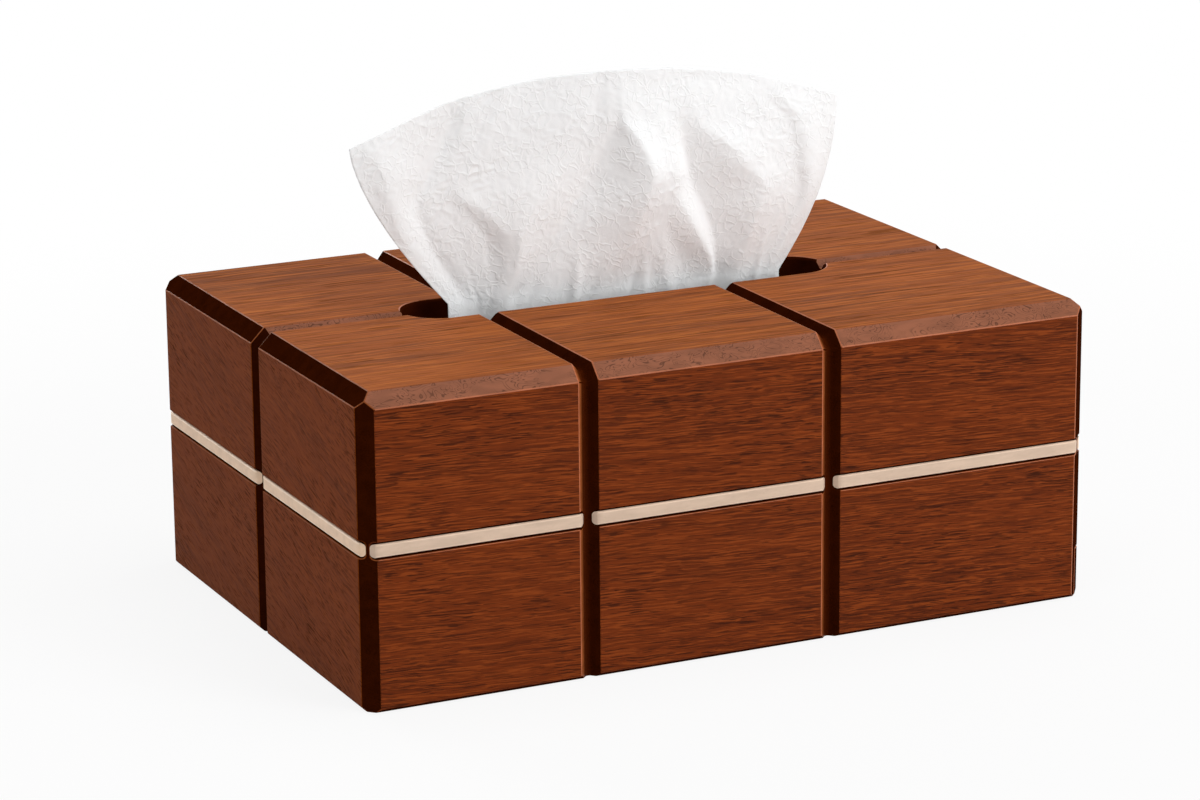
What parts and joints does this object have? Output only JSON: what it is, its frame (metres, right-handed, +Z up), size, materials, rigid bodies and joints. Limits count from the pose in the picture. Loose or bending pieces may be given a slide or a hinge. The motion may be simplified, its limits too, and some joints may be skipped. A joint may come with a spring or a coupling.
{
  "type": "wooden tissue box",
  "caption": "Low chamfered wooden tissue box with V-grooves, pale inlay strips, a round-ended slot, a tissue standing out of it and a bottom panel that slides out for refilling.",
  "frame": {"origin": "on the floor, below the middle of the box", "axes": "+X along the length, towards the end where the bottom slides out; front faces -Y; +Z up"},
  "size_m": [0.19, 0.13, 0.1293],
  "materials": {
    "dark_wood": "dark reddish-brown hardwood, semi-gloss lacquer",
    "plain_wood": "same wood, sanded and thinly oiled",
    "pale_inlay": "pale cream wood, satin",
    "tissue_paper": "soft white embossed tissue, matt"
  },
  "bodies": {
    "box": {"top_panel": "dark_wood", "front_wall": "dark_wood", "back_wall": "dark_wood", "left_end": "dark_wood", "right_end": "dark_wood", "front_strip_1": "pale_inlay", "front_strip_2": "pale_inlay", "front_strip_3": "pale_inlay", "back_strip_1": "pale_inlay", "back_strip_2": "pale_inlay", "back_strip_3": "pale_inlay", "left_strip_1": "pale_inlay", "left_strip_2": "pale_inlay", "right_strip_1": "pale_inlay", "right_strip_2": "pale_inlay", "tissue_stack": "tissue_paper", "tissue_sheet": "tissue_paper"},
    "bottom_tray": {"sliding_bottom": "plain_wood", "end_rail": "dark_wood"}
  },
  "joints": [
    {"name": "bottom_slide", "type": "slide", "parent": "box", "child": "bottom_tray", "axis": [1, 0, 0], "range_m": [0, 0.16]}
  ]
}
